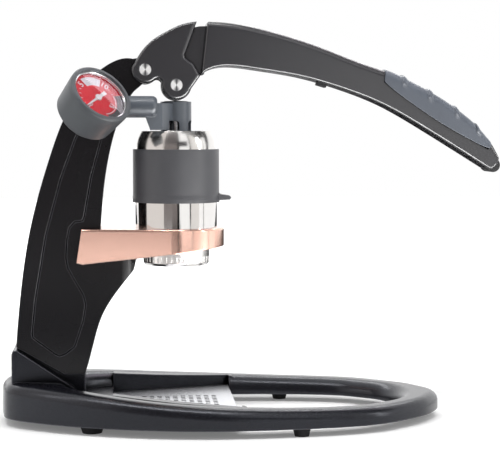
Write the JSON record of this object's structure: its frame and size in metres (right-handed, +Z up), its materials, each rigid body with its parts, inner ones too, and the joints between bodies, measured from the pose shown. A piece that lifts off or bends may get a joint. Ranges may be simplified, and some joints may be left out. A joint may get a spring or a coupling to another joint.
{
  "type": "manual lever espresso maker",
  "caption": "Hand lever espresso maker: an oval base ring and post carry a steel brew cylinder in a copper-coloured bracket; a long lever presses a piston stem that holds a pressure gauge.",
  "frame": {"origin": "under the middle of the machine, on the surface the feet rest on", "axes": "+X from the post to the tip of the lever, +Y away from the side the gauge is on, +Z up"},
  "size_m": [0.3102, 0.1432, 0.2459],
  "materials": {
    "base_ring": "satin dark paint",
    "base_feet": "matte",
    "foot_screws": "plain",
    "post": "satin dark paint",
    "post_screws": "plain",
    "brew_bracket": "copper-coloured satin coating",
    "bracket_dowel": "plain",
    "brew_cylinder": "polished",
    "cylinder_sleeve": "matte",
    "portafilter": "polished",
    "base_seal": "matte",
    "filter_basket": "plain",
    "spout_disc": "plain",
    "basket_support": "plain",
    "dispersion_screen": "plain",
    "pivot_bush": "plain",
    "lever_knuckle": "satin dark paint",
    "lever_handle": "satin dark paint",
    "handle_grip": "matte",
    "handle_end_plug": "matte",
    "handle_stop_pad": "matte",
    "handle_dowels": "plain",
    "pivot_pin": "turned",
    "roller_pin": "turned",
    "roller": "matte",
    "stem_housing": "satin grey",
    "plunger_cap": "matte",
    "plunger_rod": "plain",
    "piston": "plain",
    "piston_seal": "matte",
    "gauge_cup": "matte",
    "gauge_case": "plain",
    "gauge_movement": "plain",
    "gauge_dial": "printed",
    "gauge_bezel": "polished",
    "gauge_lens": "clear",
    "gauge_needle": "white paint",
    "drip_plate": "brushed",
    "drip_pan": "matte"
  },
  "bodies": {
    "frame": {"base_ring": "base_ring", "base_feet": "base_feet", "foot_screws": "foot_screws", "post": "post", "post_screws": "post_screws", "brew_bracket": "brew_bracket", "bracket_dowel": "bracket_dowel", "brew_cylinder": "brew_cylinder", "cylinder_sleeve": "cylinder_sleeve", "portafilter": "portafilter", "base_seal": "base_seal", "filter_basket": "filter_basket", "spout_disc": "spout_disc", "basket_support": "basket_support", "dispersion_screen": "dispersion_screen", "pivot_bush": "pivot_bush"},
    "lever": {"lever_knuckle": "lever_knuckle", "lever_handle": "lever_handle", "handle_grip": "handle_grip", "handle_end_plug": "handle_end_plug", "handle_stop_pad": "handle_stop_pad", "handle_dowels": "handle_dowels", "pivot_pin": "pivot_pin", "roller_pin": "roller_pin"},
    "roller": {"roller": "roller"},
    "plunger": {"stem_housing": "stem_housing", "plunger_cap": "plunger_cap", "plunger_rod": "plunger_rod", "piston": "piston", "piston_seal": "piston_seal", "gauge_cup": "gauge_cup", "gauge_case": "gauge_case", "gauge_movement": "gauge_movement", "gauge_dial": "gauge_dial", "gauge_bezel": "gauge_bezel", "gauge_lens": "gauge_lens"},
    "needle": {"gauge_needle": "gauge_needle"},
    "tray": {"drip_plate": "drip_plate", "drip_pan": "drip_pan"}
  },
  "joints": [
    {"name": "lever_pivot", "type": "hinge", "parent": "frame", "child": "lever", "pos_m": [-0.067, 0, 0.2164], "axis": [0, -1, 0], "range_deg": [0, 75]},
    {"name": "plunger_slide", "type": "slide", "parent": "frame", "child": "plunger", "axis": [0, 0, 1], "range_m": [0, 0.025]},
    {"name": "roller_spin", "type": "hinge", "parent": "lever", "child": "roller", "pos_m": [-0.048, 0, 0.2071], "axis": [0, -1, 0], "continuous": true},
    {"name": "needle_turn", "type": "hinge", "parent": "plunger", "child": "needle", "pos_m": [-0.0929, -0.046, 0.2013], "axis": [-0.4998, 0.6297, -0.5947], "range_deg": [0, 270], "stiffness_Nm_per_rad": 0.0002, "springref_deg": -2.86},
    {"name": "tray_lift", "type": "slide", "parent": "frame", "child": "tray", "axis": [0, 0, 1], "range_m": [0, 0.05]}
  ],
  "couplings": [
    {"joint": "plunger_slide", "follows": "lever_pivot", "m_per_rad": 0.0189}
  ]
}
